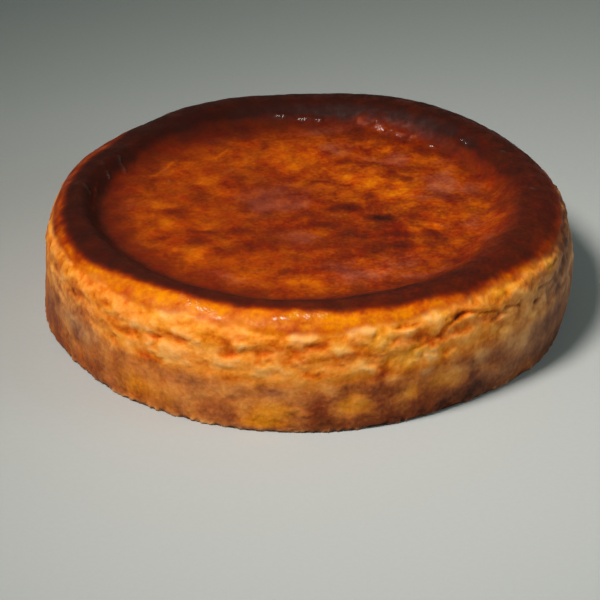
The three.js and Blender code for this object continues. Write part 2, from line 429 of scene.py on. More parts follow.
# Patches of the side: pale plates that stand out, partly their own colour and partly painted
# highlight, golden ones, rusty hollows, brown ones, and ones dulled to tan, each (azimuth, height,
# half its width in degrees, half its height, amount). The brown and dulled ones low along the foot
# are painted shade, and the brown one under the right shoulder is a painted shadow.
PALE_AND_LIT_PLATES = [
    (-168, 46.5, 4, 2.0, 0.7), (-158, 48.2, 3, 0.8, 0.6), (-152.5, 47.7, 1.6, 0.7, 0.5),
    (-162, 37, 3, 4, 0.4), (-155, 40, 1.6, 3, 0.5), (-152.5, 39, 1.2, 2, 0.6),
    (-149.5, 43.5, 2.5, 2.5, 0.4), (-141.5, 36, 2, 5, 0.6), (-145.5, 34, 0.7, 2.5, 0.5),
    (-152, 32, 2.5, 4, 0.4), (-143.5, 19, 2.5, 5, 0.5), (-152, 18, 2.2, 5, 0.4),
    (-140, 22, 1, 2.5, 0.5), (-137, 37, 1.5, 2, 0.3), (-128, 41.8, 4, 3, 0.8),
    (-125.3, 43.5, 2.5, 2, 0.5), (-124.3, 36.7, 1.6, 2.5, 0.8), (-119.5, 48.4, 3, 2.2, 0.9),
    (-116, 43.6, 3, 2.4, 0.9), (-115, 50.6, 6, 0.9, 0.6), (-105, 50.3, 4.5, 0.8, 0.6),
    (-110.4, 38.3, 2.8, 4, 0.7), (-117, 32, 4.6, 4.6, 0.9), (-121, 30, 3, 3, 0.4),
    (-99, 32.5, 4.5, 4, 0.7), (-107, 33, 4, 4.5, 0.5), (-95, 30.4, 3.6, 3.6, 0.8),
    (-101, 42, 1.2, 2.6, 0.7), (-89, 47.4, 4, 1.8, 0.9), (-129, 29, 2, 3.5, 0.4),
    (-86, 22, 2.2, 3.6, 0.7), (-83, 40.2, 2.8, 2.6, 0.6), (-78.3, 49, 3.2, 1.4, 0.9),
    (-78.8, 45.3, 2, 2.6, 0.6), (-67, 45.7, 3.6, 1.0, 0.8), (-77, 32, 3, 4.6, 0.7),
    (-60, 47.8, 3, 1.8, 0.5), (-61.9, 32, 1.5, 3.6, 0.9), (-51.4, 43.6, 2.2, 1.0, 0.9),
    (-54, 33.5, 3.5, 4.5, 0.4), (-70.5, 24.4, 2.2, 1.6, 0.8), (-63.4, 24.6, 1.8, 1.5, 0.7),
    (-53, 49.2, 3, 1.0, 0.2), (-48, 47.5, 3.5, 1.6, 0.2), (-41.5, 48.6, 3.2, 1.6, 0.25),
    (-35, 48, 3, 1.8, 0.35), (-29, 47, 3, 2.2, 0.8), (-24, 45.5, 2.6, 2.8, 0.7),
    (-45, 41, 1.8, 0.8, 0.6), (-40.6, 39.6, 2.2, 0.9, 0.8), (-41, 22, 7, 9, 0.45),
    (-43, 37.4, 1.2, 1.2, 0.7), (-37.5, 21, 3.2, 5, 0.6), (-33, 29, 3, 5, 0.4),
    (-48.6, 23.8, 2.6, 3.2, 0.8), (-56.6, 18.5, 3.2, 6.0, 0.9), (-79.3, 13.5, 3.2, 5.8, 0.9),
    (-66.3, 16, 2.4, 4.4, 0.7), (-47, 33, 3, 3, 0.3), (-26, 34.6, 1.4, 1, 0.6)]
GOLDEN_PATCHES = [
    (-150, 45, 6, 3, 0.4), (-127, 10, 5, 6.5, 0.7), (-120, 9, 3, 8, 0.4),
    (-96.6, 10.5, 4.4, 5.5, 0.9), (-98.7, 5, 6, 2.4, 0.9), (-122, 30, 2.6, 3, 0.4),
    (-124, 47, 3, 2.5, 0.7), (-112, 46.8, 2.4, 2.6, 0.8), (-108.5, 46.8, 1.6, 2, 0.6),
    (-106, 43, 6, 4, 0.4), (-100.8, 48.8, 2.4, 1.6, 0.6), (-95, 46, 3, 3, 0.4),
    (-73.6, 45, 2.4, 5, 1.0), (-79.3, 14, 3.1, 5.8, 0.8), (-66.3, 16, 1.8, 4, 0.6),
    (-60.8, 17, 2, 5, 0.4), (-68, 33, 3.6, 5, 0.9), (-57, 18, 2.6, 5.2, 0.4),
    (-61, 48.4, 4, 1.8, 0.5), (-41.7, 49, 4, 2.4, 0.8), (-24.5, 44.7, 2.8, 3, 0.6),
    (-83, 42, 3, 2.6, 0.5), (-121, 45.3, 2, 3, 0.6)]
RUST_PATCHES = [
    (-166, 42, 2, 2, 0.4), (-147, 47.6, 2, 1.4, 0.6), (-143.5, 46.6, 2, 1.4, 0.6),
    (-136.5, 44, 1.6, 1.2, 0.6), (-134, 39, 1.4, 1.7, 0.7), (-138.5, 41.5, 1, 2, 0.5),
    (-129, 35.6, 2, 2.8, 0.7), (-123.7, 27, 2.4, 3, 0.7), (-122.2, 38, 2.6, 1.5, 0.7),
    (-117, 40.4, 2.6, 1.4, 0.8), (-103.2, 45.8, 1.2, 2, 0.8), (-109, 44, 2, 1.4, 0.4),
    (-104.4, 37.9, 2.5, 2.4, 0.8), (-97.7, 39.4, 2.4, 2, 0.7), (-98, 36, 3, 1.2, 0.3),
    (-86.7, 43.2, 3.2, 1.9, 0.9), (-89.5, 41, 2.6, 1.2, 0.6), (-91.4, 36.7, 4, 2.6, 0.6),
    (-96.5, 22, 3, 2, 0.3), (-87, 18, 3, 6, 0.5), (-108, 8, 4, 6, 0.4), (-67.6, 41.8, 4, 2.0, 1.0),
    (-78.5, 37.6, 4.2, 1.9, 0.8), (-74, 36, 2, 1.2, 0.8), (-59.5, 38.4, 4, 3, 0.85),
    (-64, 36.6, 2, 1, 0.5), (-52, 39.5, 4, 2.6, 0.6), (-47.5, 40, 3, 2, 0.6),
    (-46.5, 27.5, 2.5, 3, 0.4), (-87, 29.5, 3, 2.4, 0.6), (-73.5, 28, 1.6, 5, 0.4),
    (-83, 33, 3, 1.6, 0.4), (-70, 50.6, 5, 0.9, 0.5), (-64, 30, 1.4, 3, 0.4)]
# Brown patches. The wide ones low along the foot are painted shade, and the one at -13 degrees is a
# painted shadow under the right shoulder.
BROWN_AND_SHADE_PATCHES = [
    (-144.5, 40, 1.5, 1.5, 0.5), (-149, 37, 2.4, 1.8, 0.6), (-147, 32, 2.5, 2.5, 0.4),
    (-146, 28.5, 4, 2, 0.4), (-157.5, 25, 2, 5, 0.5), (-160, 15, 5, 6, 0.5),
    (-148, 15, 1.5, 4, 0.45), (-133, 18, 2, 6, 0.35), (-145, 5, 5, 3.5, 0.35),
    (-162, 7, 12, 6, 0.6), (-122, 37.8, 2, 1.2, 0.5), (-105.5, 27, 4, 2, 0.5),
    (-112.8, 21.7, 5, 4.5, 0.22), (-109, 11, 4, 7, 0.4), (-129, 9, 13, 9, 0.18),
    (-96, 21, 3, 3, 0.12), (-105, 5.4, 2, 3, 0.4), (-87, 8, 3, 8, 0.75), (-87, 29.5, 3, 2.2, 0.5),
    (-84, 30, 1.2, 2, 0.4), (-73.8, 27.5, 1.4, 4.5, 0.6), (-65.6, 26.6, 2, 2.4, 0.8),
    (-58.7, 28, 1.4, 4, 0.6), (-73.2, 15.6, 2.4, 8.5, 0.8), (-69.7, 18.6, 2.6, 4, 0.5),
    (-64, 12.3, 3, 6, 0.7), (-53.5, 23.3, 3, 3, 0.7), (-50, 27.5, 3, 1.6, 0.35),
    (-43.5, 34, 1, 2.5, 0.4), (-24, 31, 4.5, 3.4, 0.5), (-29.5, 20, 2.4, 4, 0.25),
    (-45, 19, 4, 5, 0.4), (-13, 42.5, 6, 5, 1.0), (-52, 11, 4, 6, 0.25), (-70, 3, 12, 5, 0.7),
    (-55, 4, 8, 6, 0.6), (-17, 37, 5, 4, 0.4), (-33, 33, 4, 3, 0.2), (-30, 8, 10, 7, 0.20),
    (-49, 4, 8, 5, 0.4), (-54.4, 45.6, 2.2, 1.0, 0.6), (-57, 43, 1.6, 1.4, 0.5),
    (-32.3, 35.8, 1.6, 1.1, 0.8), (-68, 48.4, 2.4, 0.8, 0.4)]
# Patches dulled to tan. The one low on the foot at -48 degrees is painted shade.
DULL_AND_SHADE_PATCHES = [
    (-32, 26, 16, 20, 0.8), (2, 30, 22, 28, 0.9), (-28, 39, 15, 8, 0.5), (-48, 6, 10, 8, 0.5),
    (-157, 37, 17, 13, 0.5), (-138, 30, 6, 10, 0.3), (-18, 12, 14, 16, 0.7), (-10, 38, 16, 14, 0.8),
    (-158, 26, 13, 14, 0.42), (-146, 24, 6, 8, 0.5), (-113, 22, 6, 5, 0.25), (-96, 21, 4, 3, 0.2),
    (-52, 22, 5, 8, 0.4), (-63.4, 24.6, 2, 2, 0.5)]

# Cracks, each (half its width, point, point...), whose points are (azimuth, height).
CRACKS = [
    (0.8, (-57, 43.4), (-55.2, 44.8), (-53.8, 46), (-51.8, 45.4), (-50.6, 44.6)),
    (0.7, (-46.2, 40.2), (-44, 39.6)), (0.7, (-42.4, 40.8), (-38, 38.8)),
    (0.8, (-33.6, 36), (-31.6, 35.8)), (0.6, (-26, 45.4), (-21, 44.2)),
    (0.6, (-50.5, 44.4), (-46.5, 41.6), (-44, 40.6)), (0.5, (-31, 40.6), (-25, 38.2)),
    (0.7, (-70.4, 47.6), (-68.4, 46.9), (-65.4, 47.1)),
    (0.6, (-125, 38.4), (-122.4, 37.4), (-121, 38.6)), (0.7, (-150, 37.6), (-148, 36.8)),
    (0.7, (-166, 49.2), (-158, 49.3), (-151, 48.8))]

# Sizes of the side's relief, in millimetres: how far its lumps are apart, how high or deep they
# are, and between which heights the torn band fades in and the crumbs at the foot fade out.
DRIFT_SPACING = 9.0
WIDE_PATCH_SPACING = 17.0
NARROW_PATCH_SPACING = 7.0
STREAK_SPACING = 5.0
KNOBBLE_SPACING = 3.6
KNOBBLE_HEIGHT = 0.20
PLATE_HEIGHT = 0.55
RUST_DEPTH = 0.50
CRACK_DEPTH = 0.7
LIP_DEPTH = 0.6
LIP_HALF_WIDTH = 1.1
LIP_SPACING = 5.5
LIP_WANDER = 0.9
LIP_SOFTNESS = 1.6
BELOW_ANY_LIP = 30.0
GROOVE_SPACING = 14.0
CRUMB_SPACING = 2.6
CRUMB_HEIGHT = 1.0
TORN_BAND_FADES_IN = (22.0, 32.0)
CRUMBS_FADE_OUT = (0.4, 3.0)

# Each octave of noise is OCTAVE_STEP times finer than the last, and weaker by OCTAVE_STEP to the
# power of OCTAVE_POWER. Another seed moves the noise along by SEED_STEP lumps.
OCTAVE_STEP = 2.1
OCTAVE_POWER = 0.9
SEED_STEP = np.array([1.7, 3.1, 5.3])

# How flat a spot is in its middle and how steep at its edge; 1 would make it a plain bell.
SPOT_FLATNESS = 1.4


def noise_at(points, spacing, seed, squeeze=(1, 1, 1), octaves=2):
    """Smooth noise, about -1 to 1, whose lumps are `spacing` millimetres apart. A `squeeze` over 1
    along an axis packs them closer along it, and one under 1 draws them out."""
    places = points * squeeze / spacing + SEED_STEP * seed
    return np.array([noise.fractal(place, OCTAVE_POWER, OCTAVE_STEP, octaves)
                     for place in places.tolist()])


def spots(across, up, rows):
    """Soft spots added up, each one (across, up, half its width, half its height, amount)."""
    total = np.zeros(len(across))
    for at_across, at_up, half_width, half_height, amount in rows:
        away = ((across - at_across) / half_width) ** 2 + ((up - at_up) / half_height) ** 2
        total += amount * np.exp(-away ** SPOT_FLATNESS)
    return total


def stroke_depth(across, up, strokes, unit=1.0):
    """1 along each stroke, (half its width, point, point...), falling to 0 beside it. `unit` is
    how many millimetres one step of `across` is."""
    deepest = np.zeros(len(across))
    for half_width, *corners in strokes:
        for (x0, y0), (x1, y1) in zip(corners, corners[1:]):
            long_x, long_y = (x1 - x0) * unit, y1 - y0
            from_x, from_y = (across - x0) * unit, up - y0
            share = np.clip((from_x * long_x + from_y * long_y) / (long_x ** 2 + long_y ** 2), 0, 1)
            away = np.hypot(from_x - share * long_x, from_y - share * long_y) / half_width
            deepest = np.maximum(deepest, np.exp(-away ** 2))
    return deepest


def added_up(*rows):
    """Layers of the skin added up, each row (how much of it, the layer)."""
    return sum(amount * layer for amount, layer in rows)


# `drift` makes edges and patches waver. The patches and cracks are placed over the front half, and
# the back repeats them as in a mirror.
drift = np.stack([noise_at(shape, DRIFT_SPACING, seed, octaves=3) for seed in (1, 2, 3)], axis=1)
facing = -np.abs(azimuth)
across = facing + 0.9 * drift[:, 0]
up = height + 1.2 * drift[:, 2]
wide_patches = noise_at(shape + 6 * drift, WIDE_PATCH_SPACING, 5, (1, 1, 1.5), 3)
narrow_patches = noise_at(shape + 3 * drift, NARROW_PATCH_SPACING, 6, (1, 1, 1.5), 3)
streaks = noise_at(shape + 2 * drift, STREAK_SPACING, 7, (1, 1, 0.3), 2)
knobbles = noise_at(shape + 1.5 * drift, KNOBBLE_SPACING, 9, (1, 1, 1.2), 3)

# Which skin each place has: that of the top, over the ragged lip, or that of the side, which is a
# torn band over a smoother foot with a crumbly edge.
lip = form.lip + LIP_WANDER * noise_at(shape, LIP_SPACING, 4, octaves=3)
outside = radius > form.crest
lip_share = smoothstep(lip - LIP_SOFTNESS, lip + LIP_SOFTNESS, height)
on_top = np.where(outside, lip_share, 1.0) * (height > BELOW_ANY_LIP)
above_underside = height > 0.01
on_side = (1 - on_top) * above_underside
torn_band = smoothstep(*TORN_BAND_FADES_IN, height) * on_side
at_foot = (1 - smoothstep(*CRUMBS_FADE_OUT, height)) * above_underside

pale_and_lit = spots(across, up, PALE_AND_LIT_PLATES) + 0.35 * smoothstep(-0.05, 0.5, narrow_patches) * torn_band
rust = spots(across, up, RUST_PATCHES) + 0.35 * smoothstep(0.05, 0.6, -narrow_patches) * torn_band
brown_and_shade = spots(across, up, BROWN_AND_SHADE_PATCHES)
gold = spots(across, up, GOLDEN_PATCHES)
dull_and_shade = spots(across, up, DULL_AND_SHADE_PATCHES)
cracks = stroke_depth(facing + 0.5 * drift[:, 1], height + 0.5 * drift[:, 0], CRACKS, MM_PER_DEGREE)
cracks *= on_side
lip_groove = np.exp(-((height - lip + 0.8) / LIP_HALF_WIDTH) ** 2) * outside
lip_groove *= 0.5 + 0.6 * noise_at(shape, GROOVE_SPACING, 10)
crumbs = noise_at(shape, CRUMB_SPACING, 11, octaves=3)

relief = torn_band * added_up((PLATE_HEIGHT, pale_and_lit), (-RUST_DEPTH, rust), (KNOBBLE_HEIGHT, knobbles))
relief += on_side * added_up((0.35, wide_patches), (0.25, narrow_patches), (0.12, streaks),
                             (0.10, knobbles), (-0.10, 1))
relief += added_up((-CRACK_DEPTH, cracks), (-LIP_DEPTH, lip_groove))
relief += at_foot * added_up((CRUMB_HEIGHT, crumbs), (-0.1, 1))


# ---------------------------------------------------------------------------------------------
# The cake's top. The oven scorched the rim almost black; inside it the sunken skin is orange and
# reddish brown, blistered in small patches, and outside it runs down over the shoulder as amber.
# ---------------------------------------------------------------------------------------------
# Where the dark rim ends, outside and inside, and how far in the reddish brown at the foot of its
# slope reaches: (azimuth, radius).
DARK_OUTSIDE = [
    (-165, 112), (-150, 113.3), (-139, 109.2), (-131, 108), (-121, 106.4), (-112, 108),
    (-102, 108.4), (-91, 108.6), (-80, 109.8), (-70, 111.4), (-60, 110.2), (-50, 114.2), (-40, 114),
    (-31, 116.5), (-22, 118), (0, 119), (60, 118.5), (128, 118.5), (136, 115), (143, 110),
    (150, 108), (170, 109)]
DARK_INSIDE = [
    (-166, 91), (-155, 90), (-144, 89), (-130, 88), (-116, 87), (-100, 87), (-76, 88.5), (-59, 92),
    (-46, 96), (-30, 98), (-12, 99), (0, 98), (30, 95), (60, 95), (80, 93), (95, 94), (120, 95),
    (150, 93), (175, 93)]
RED_INSIDE = [
    (-166, 73), (-144, 69), (-116, 70), (-90, 72), (-60, 67), (-35, 67), (-15, 73), (0, 77),
    (30, 78), (60, 73), (90, 67), (120, 69), (150, 72), (175, 74)]

# How much darker the amber outside the rim is: (azimuth, amount).
AMBER_DEEPENS = [
    (-168, 0.18), (-150, 0), (-64, 0), (-50, 0.08), (-40, 0.12), (-22, 0.22), (170, 0.24)]

# Patches of the sunken top that are browner, brighter or hazed over with pink where it dried, each
# (x, y, half its length, half its width, amount).
BROWNER_PATCHES = [
    (37, -7, 7, 4, 0.42), (20, 2, 8, 4, 0.26), (45, -23, 6, 4, 0.24), (44, -34, 6, 5, 0.20),
    (33, -37, 5, 5, 0.20), (28, -25, 4, 4, 0.12), (25, -43, 5, 3, 0.12), (15, 15, 3, 3, 0.12),
    (30, 13, 5, 3, 0.10), (47, 8, 3, 3, 0.10), (35, 0, 4, 3, 0.10), (62, -24, 4, 5, 0.15),
    (57, -30, 3, 3, 0.12), (-47, -30, 6, 4, 0.22), (-25, -36, 8, 7, 0.16), (-37, -38, 3, 3, 0.12),
    (-42, -42, 3, 3, 0.12), (-28, -20, 5, 4, 0.12), (-13, -26, 4, 8, 0.12), (-58, -2, 6, 3, 0.12),
    (-63, -26, 4, 2, 0.12), (-30, 33, 4, 5, 0.12), (-18, 66, 3, 4, 0.12), (-17, 23, 4, 4, 0.10),
    (-8, 22, 4, 3, 0.10), (20, 61, 5, 3, 0.10), (10, 56, 4, 3, 0.10), (40, 33, 5, 3, 0.10),
    (-8, -58, 3, 3, 0.12), (20, -25, 7, 14, 0.08), (12, -22, 42, 30, 0.11), (-12, 18, 22, 22, 0.08),
    (55, 65, 18, 12, 0.08), (-40, 78, 22, 10, 0.10), (48, -30, 24, 26, 0.03),
    (0, -62, 50, 14, 0.03), (40, 45, 26, 16, 0.03), (0, 88, 40, 8, 0.06), (72, -5, 14, 26, 0.05),
    (-60, 0, 20, 40, 0.04), (62, 15, 6, 5, 0.12), (72, 12, 6, 9, 0.10), (15, -53, 8, 6, 0.10),
    (47, -50, 6, 4, 0.10), (-20, 6, 11, 15, 0.08), (8, -14, 7, 3, 0.10), (-45, 12, 8, 6, 0.06),
    (58, 2, 5, 3, 0.10), (-70, 24, 3, 8, 0.08), (30, 72, 8, 3, 0.08)]
BRIGHTER_PATCHES = [
    (80, -14, 7, 9, 0.10), (-78, 20, 6, 18, 0.05), (-72, -30, 8, 12, 0.05), (30, 32, 18, 10, 0.05),
    (-52, -40, 14, 10, 0.04), (0, 52, 20, 12, 0.04), (-62, -8, 12, 14, 0.02), (28, 30, 10, 8, 0.14),
    (45, 18, 6, 10, 0.18), (45, 62, 9, 6, 0.12), (4, 55, 5, 5, 0.10), (-8, 52, 9, 13, 0.08),
    (-45, 26, 6, 5, 0.12), (-47, -44, 5, 6, 0.12), (-45, -18, 4, 3, 0.12), (-60, -15, 5, 5, 0.10),
    (-65, 5, 5, 7, 0.10), (-25, -62, 8, 4, 0.10), (-20, -48, 6, 4, 0.10), (56, -16, 10, 4, 0.12),
    (66, -6, 5, 4, 0.10), (35, -56, 5, 4, 0.10), (2, -66, 9, 4, 0.10), (-28, 46, 4, 4, 0.12),
    (70, -32, 4, 5, 0.10), (-2, 40, 8, 4, 0.08), (-34, 18, 7, 4, 0.08), (8, -40, 6, 4, 0.08),
    (54, -44, 5, 3, 0.08), (-56, 40, 6, 8, 0.08)]
PINK_HAZE = [
    (-12, 12, 18, 17, 0.8), (-2, -26, 13, 10, 0.6), (32, -56, 24, 10, 0.65), (66, 22, 10, 13, 0.85),
    (78, -4, 7, 18, 0.5), (44, 48, 9, 7, 0.5), (17, 62, 10, 8, 0.55), (10, 84, 26, 8, 0.5),
    (-36, 40, 7, 6, 0.4), (-30, -66, 22, 6, 0.4), (-82, 10, 6, 20, 0.2), (56, -44, 8, 6, 0.4),
    (68, 48, 7, 7, 0.5), (42, 50, 8, 6, 0.6), (64, 32, 8, 8, 0.6), (65, 22, 5, 4, 0.5),
    (0, 3, 4, 4, 0.6), (16, -6, 4, 3, 0.6), (-3, -26, 8, 9, 0.4), (10, 78, 9, 4, 0.6),
    (12, 62, 6, 3, 0.5), (20, 57, 5, 3, 0.5), (55, 12, 5, 3, 0.6), (25, -60, 8, 4, 0.7),
    (52, -62, 8, 4, 0.7), (-40, -57, 8, 4, 0.6), (-33, -62, 6, 3, 0.5), (-20, 5, 11, 16, 0.4),
    (15, -53, 8, 5, 0.5), (47, -50, 6, 4, 0.5), (-65, 45, 5, 9, 0.4), (-40, 70, 10, 5, 0.4),
    (80, 20, 6, 12, 0.5), (-80, 0, 5, 20, 0.35), (44, -27, 4, 2, 0.5), (-30, -30, 5, 3, 0.4),
    (30, -68, 14, 4, 0.4), (-72, -32, 5, 9, 0.4), (30, 50, 6, 3, 0.4), (84, -30, 8, 12, 0.4),
    (66, -58, 12, 7, 0.4), (90, 6, 6, 14, 0.3)]

# Browner and brighter strokes, each (half its width, point, point...), whose points are (x, y).
BROWN_STROKES = [
    (2.2, (15, 48), (38, 46), (44, 34), (50, 30)), (1.6, (-52, -20), (-42, -22), (-34, -28)),
    (1.4, (50, -12), (56, -18), (60, -20)), (1.5, (5, 30), (14, 26), (22, 24))]
AMBER_STROKES = [
    (1.0, (-60, 50), (-66, 40), (-72, 30)), (0.8, (-36, 62), (-41, 50)),
    (1.4, (-62, -68), (-52, -76), (-42, -80))]

# Pale, pinkish strokes along the foot of the rim's inner slope: thin broken lines at the left, and
# a wider one at the back right, which is a painted sheen.
PALE_LINES_AND_SHEEN = [
    (0.7, (-95, 18), (-95, -6)), (0.6, (-92, -21), (-90, -27)), (0.7, (-86, -36), (-78, -50)),
    (1.7, (28, 88), (36, 82), (46, 75), (58, 69))]

# Small shining folds of skin, whose points are (x, y), and rows of wet beads along the front of the
# crest, whose points are (azimuth, height).
SKIN_FOLDS = [
    (1.3, (-104, 9), (-101, 8.5), (-98, 5)), (1.1, (-94, 33), (-92, 30)),
    (1.0, (-91, 29), (-89, 27)), (1.1, (-86, 43), (-83, 36)), (1.0, (-12, 93), (-2, 92), (9, 90)),
    (2.0, (36, 83), (44, 76), (54, 70)), (1.1, (62, 65), (65, 62)), (1.1, (76, 59), (78, 56)),
    (1.1, (94, 41), (96, 38)), (1.1, (104, 7), (106, 3)), (1.0, (84, -37), (85, -40)),
    (1.0, (60, -13), (65, -16)), (1.0, (1, -5), (3, -4)), (0.9, (-63, 30), (-61, 27))]
WET_BEADS = [
    (1.1, (-119, 54.2), (-113.5, 53.5), (-107, 51.6)), (1.0, (-96, 53.4), (-90, 54.2), (-84, 53.8))]

# Sizes of the top's relief, in millimetres.
BLISTER_SPACING = 8.5
BLISTER_HEIGHT = 0.20
GRAIN_SPACING = 3.2
GRAIN_HEIGHT = 0.10
WET_HEIGHT = 0.45
FOLD_HEIGHT = 0.25


def round_the_cake(stops):
    """A value at every point of the skin, from (azimuth, value) stops in order of azimuth."""
    return np.interp(azimuth, *zip(*stops), period=360)


x, y = shape[:, 0] + 1.6 * drift[:, 0], shape[:, 1] + 1.6 * drift[:, 1]
blisters = noise_at(shape, BLISTER_SPACING, 12, (1, 1, 0.4), 3)
dark_outside = round_the_cake(DARK_OUTSIDE) + 0.7 * narrow_patches + 0.7 * wide_patches
dark_inside = round_the_cake(DARK_INSIDE) + 0.9 * drift[:, 1] + 0.6 * blisters
red_inside = round_the_cake(RED_INSIDE) + 5.0 * drift[:, 0]
sunken = on_top * (radius < dark_inside + 4)
pale_lines_and_sheen = stroke_depth(x, y, PALE_LINES_AND_SHEEN) * on_top * smoothstep(-0.6, 0.4, knobbles)

# How strongly each place was browned. It rises from the middle out to the rim, whose inner edge
# is sharp at the back and soft at the front, and falls again over the amber shoulder.
nearness = np.clip((radius - red_inside) / (dark_inside - red_inside), 0, 1)
softness = mix(2.0, 6.0, smoothstep(60, 120, np.abs(turn_from(azimuth, 90))))
near_front = np.exp(-(turn_from(azimuth, -92) / 50) ** 2)
near_right = np.exp(-(turn_from(azimuth, -10) / 50) ** 2)
browned = 0.49 + added_up(
    (0.31, nearness),
    (0.18, smoothstep(dark_inside - softness, dark_inside + softness, radius)),
    (-0.12, near_front * smoothstep(96, 101, radius)),
    (-0.10, near_right * smoothstep(70, 90, radius)))
amber = 0.23 + added_up(
    (0.13, smoothstep(52, 48.5, height)),
    (0.08, narrow_patches),
    (0.05, blisters),
    (1.0, round_the_cake(AMBER_DEEPENS)))
browned = mix(browned, amber, smoothstep(dark_outside - 4.0, dark_outside + 1.5, radius) * outside)
browned += sunken * added_up(
    (1.0, spots(x, y, BROWNER_PATCHES)),
    (0.13, stroke_depth(x, y, BROWN_STROKES)),
    (-1.0, spots(x, y, BRIGHTER_PATCHES)),
    (-0.14, stroke_depth(x, y, AMBER_STROKES)))
# The pale lines and the painted sheen are lighter and hazed pink.
browned -= 0.18 * pale_lines_and_sheen
haze = np.clip(added_up((0.9, spots(x, y, PINK_HAZE) * sunken), (0.9, pale_lines_and_sheen)), 0, 1)

folds = stroke_depth(*(shape + drift)[:, :2].T, SKIN_FOLDS) * on_top
wet = np.maximum(stroke_depth(azimuth, height, WET_BEADS, MM_PER_DEGREE) * outside, folds)
wet *= smoothstep(-0.8, 0.2, knobbles)
relief += on_top * added_up((BLISTER_HEIGHT, blisters), (-0.05, 1),
                            (GRAIN_HEIGHT, noise_at(shape, GRAIN_SPACING, 13)))
relief += added_up((WET_HEIGHT, wet), (FOLD_HEIGHT, folds)) * (1 + 0.6 * knobbles)

# The relief stays inside the box that the plain form fills.
EDGE_ROOM = (0.02, 0.02, 0.0)
lowest, highest = np.array(cad_box) / MM
moved = shape - off_centre + outward * relief[:, None]
moved = np.clip(moved, lowest + EDGE_ROOM, highest - EDGE_ROOM)
cake_mesh.vertices.foreach_set("co", (moved * MM).ravel())
cake_mesh.update()
cake_mesh.shade_smooth()


# ---------------------------------------------------------------------------------------------
# What the cake is made of. One skin of baked custard all over, satin where its sugars caramelised
# and dull where it stood against paper; the colours follow how strongly each place was baked.
# ---------------------------------------------------------------------------------------------
# Colours of the top from barely to darkly browned, where its skin is amber, red or hazed over, and
# of the side from its hollows to its plates, where it is golden, rusty or tan.
AMBER_TOP = [
    (0.00, "#F2A000"), (0.22, "#DA7E00"), (0.35, "#C26000"), (0.46, "#A84A02"), (0.60, "#823004"),
    (0.72, "#682408"), (0.85, "#4E1B0A"), (1.00, "#32130B")]
RED_TOP = [
    (0.00, "#EA8400"), (0.22, "#CE6000"), (0.35, "#B64200"), (0.46, "#982D02"), (0.60, "#761C05"),
    (0.72, "#601608"), (0.85, "#481209"), (1.00, "#300F0A")]
HAZY_TOP = [
    (0.00, "#D48C54"), (0.35, "#B4603A"), (0.55, "#96452C"), (0.75, "#722E20"), (1.00, "#4A1C18")]
GOLDEN_SIDE = [
    (0.00, "#5A2800"), (0.25, "#AA5600"), (0.50, "#E68C14"), (0.75, "#F8A438"), (1.00, "#FCB864")]
RUSTY_SIDE = [
    (0.00, "#521600"), (0.25, "#A23600"), (0.50, "#DC620E"), (0.75, "#F48A34"), (1.00, "#FCA85C")]
TAN_SIDE = [
    (0.00, "#3A2018"), (0.25, "#6E422E"), (0.50, "#A66C46"), (0.75, "#D2945C"), (1.00, "#EEB074")]

# How far apart the blotches, flecks and pores are, and how deep the blotches and pores would be at
# their full strength, in millimetres. The pores are drawn coarser than real ones so that they show.
BLOTCH_SIZE = 9.0
FLECK_SIZE = 1.9
PORE_SIZE = 1.1
BLOTCH_DEPTH = 1.2
PORE_DEPTH = 0.6

# How the custard takes light: how strongly it bends and mirrors it, how rough its wet glaze is, and
# what share of the light soaks in, how many millimetres deep, and how far red, green and blue reach.
CUSTARD_IOR = 1.45
CUSTARD_SHINE = 0.10
GLAZE_ROUGHNESS = 0.12
SOAK_SHARE = 0.08
SOAK_DEPTH = 3.0
SOAK_REACH = (1.0, 0.45, 0.2)

# What differs between the two skins, (on the side, on the top): how strong the flecks are beside
# the blotches, how rough the skin is, and how strong the relief of the pores and blotches is.
SIDE_AND_TOP = {"fleckiness": (0.62, 0.55), "roughness": (0.62, 0.46), "pores": (0.34, 0.10),
                "blotches": (0.40, 0.12)}

# How far the blotches and flecks move the tone, hue and roughness, the bloom of the top and the
# dullness of the side.
TONE_ON_TOP = 0.43
TONE_ON_SIDE = 0.9
HUE_ON_BOTH = 1.3
ROUGHNESS_ON_BOTH = 0.8
BLOOM_ON_TOP = 1.3
DULLNESS_ON_SIDE = 0.8

# Between which amounts the bloom and the glaze show, how strong the bloom gets, and how much
# deeper pores are where the skin is wet.
BLOOM_SHOWS = (0.20, 1.3)
BLOOM_AT_MOST = 0.8
GLAZE_SHOWS = (0.85, 1.2)
PORES_WHERE_WET = 0.9

low_side = smoothstep(31, 20, height)
shaded_foot = smoothstep(14, 2, height)
left_side = smoothstep(-128, -142, facing)
right_side = smoothstep(-56, -22, facing)
front_right = smoothstep(-91, -87, facing)
low_right = low_side * smoothstep(-62, -48, facing)
shaded_under_right_shoulder = smoothstep(-40, -20, facing) * smoothstep(26, 38, height)
right_lip = smoothstep(-64, -52, facing) * smoothstep(44, 47, height)
grain = mix(0.4, 1.0, torn_band)

